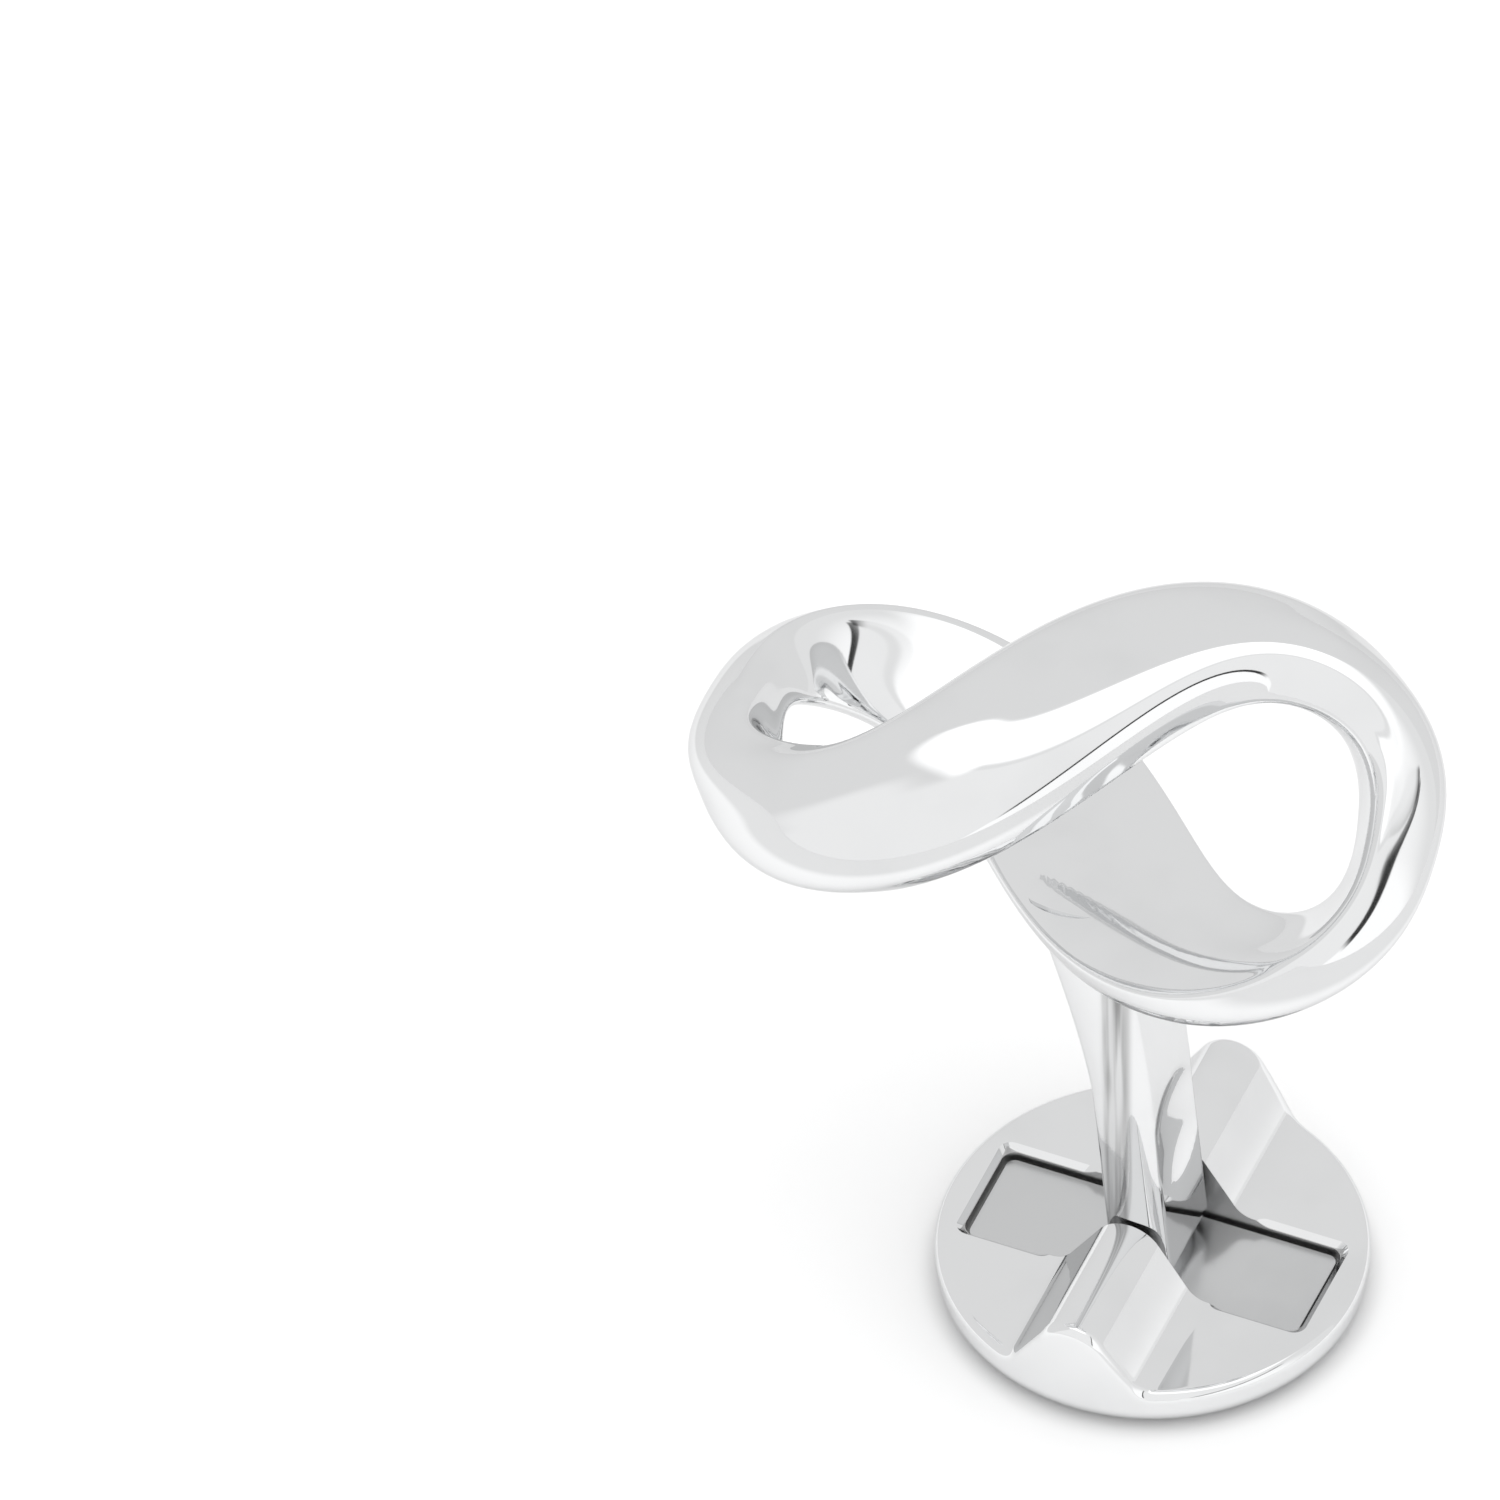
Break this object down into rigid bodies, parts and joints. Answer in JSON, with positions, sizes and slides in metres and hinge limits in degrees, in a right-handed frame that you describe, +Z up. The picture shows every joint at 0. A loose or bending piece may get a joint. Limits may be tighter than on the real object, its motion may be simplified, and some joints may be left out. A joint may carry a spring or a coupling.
{
  "type": "cufflink",
  "caption": "Polished metal cufflink: a band folded into an open figure of eight on a leaning post, with a round swivelling disc toggle.",
  "frame": {"origin": "middle of the toggle disc's underside, where it lies on the table", "axes": "+Z up, X along the toggle's window and the figure of eight, Y along the toggle's hinge and ridge"},
  "size_m": [0.0249, 0.0144, 0.0279],
  "materials": {
    "polished_plating": "mirror polished rhodium or silver plating",
    "plate_metal": "plain satin plate",
    "pin_steel": "plain steel"
  },
  "bodies": {
    "toggle": {"toggle_disc": "polished_plating", "toggle_plate": "plate_metal", "hinge_pin": "pin_steel"},
    "face": {"infinity_face_and_post": "polished_plating"}
  },
  "joints": [
    {"name": "toggle_hinge", "type": "hinge", "parent": "toggle", "child": "face", "pos_m": [0, 0, 0.0029], "axis": [0, 1, 0], "range_deg": [-85, 95]}
  ]
}
